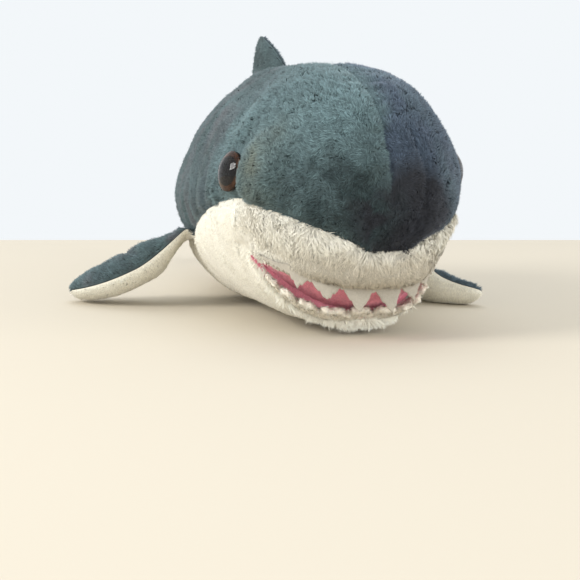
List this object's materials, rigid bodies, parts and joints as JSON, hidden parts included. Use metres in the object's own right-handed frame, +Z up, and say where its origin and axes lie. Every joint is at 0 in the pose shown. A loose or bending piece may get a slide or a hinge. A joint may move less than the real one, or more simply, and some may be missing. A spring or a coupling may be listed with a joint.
{
  "type": "plush shark",
  "caption": "Stuffed toy shark lying on its belly, with an open felt-toothed mouth, domed eyes, soft side fins, a back fin and an upright tail fin.",
  "frame": {"origin": "on the table, on the middle plane, halfway along the length, inside the flat belly patch", "axes": "+Z up, -Y towards the snout, +Y towards the tail, +X the shark's left side"},
  "size_m": [0.1997, 0.3549, 0.1417],
  "materials": {
    "fibre_filling": "matt loose fibre",
    "pile_teal": "short soft pile, mottled",
    "pile_navy": "short soft pile, mottled",
    "pile_muzzle": "longer glossy pile",
    "pile_cream": "short soft pile",
    "lining_pink": "short brushed knit",
    "felt_white": "felt",
    "felt_cream": "fuzzy felt",
    "eye_clear": "clear moulded plastic dome",
    "eye_brown": "gloss",
    "eye_black": "gloss",
    "washer_white": "moulded"
  },
  "bodies": {
    "body": {"body_stuffing": "fibre_filling", "back_panel_right": "pile_teal", "back_panel_left": "pile_navy", "muzzle_panel": "pile_muzzle", "belly_panel": "pile_cream", "palate_lining": "lining_pink", "mouth_floor_lining": "lining_pink", "upper_teeth": "felt_white", "lower_teeth": "felt_cream", "right_eye_dome": "eye_clear", "right_eye_iris": "eye_brown", "right_eye_post": "eye_black", "right_eye_washer": "washer_white", "left_eye_dome": "eye_clear", "left_eye_iris": "eye_brown", "left_eye_post": "eye_black", "left_eye_washer": "washer_white"},
    "right_fin": {"right_fin_top_panel": "pile_teal", "right_fin_under_panel": "pile_cream", "right_fin_stuffing": "fibre_filling"},
    "left_fin": {"left_fin_top_panel": "pile_teal", "left_fin_under_panel": "pile_cream", "left_fin_stuffing": "fibre_filling"},
    "back_fin": {"dorsal_right_panel": "pile_teal", "dorsal_left_panel": "pile_navy", "dorsal_stuffing": "fibre_filling"},
    "tail": {"tail_back_panel_right": "pile_teal", "tail_back_panel_left": "pile_navy", "tail_belly_panel": "pile_cream", "tail_stuffing": "fibre_filling", "fluke_right_panel": "pile_teal", "fluke_left_panel": "pile_navy", "fluke_stuffing": "fibre_filling"}
  },
  "joints": [
    {"name": "right_fin_flap", "type": "hinge", "parent": "body", "child": "right_fin", "pos_m": [-0.05512, -0.0385, 0.035], "axis": [0, 1, 0], "range_deg": [-10, 40], "stiffness_Nm_per_rad": 0.06},
    {"name": "left_fin_flap", "type": "hinge", "parent": "body", "child": "left_fin", "pos_m": [0.05512, -0.0385, 0.035], "axis": [0, -1, 0], "range_deg": [-7, 40], "stiffness_Nm_per_rad": 0.06},
    {"name": "back_fin_sway", "type": "hinge", "parent": "body", "child": "back_fin", "pos_m": [0, -0.0165, 0.11054], "axis": [0, 0.9212, -0.3892], "range_deg": [-20, 20], "stiffness_Nm_per_rad": 0.04},
    {"name": "tail_sway", "type": "hinge", "parent": "body", "child": "tail", "pos_m": [0, 0.0125, 0.047], "axis": [0, 0, 1], "range_deg": [-20, 20], "stiffness_Nm_per_rad": 0.15}
  ]
}
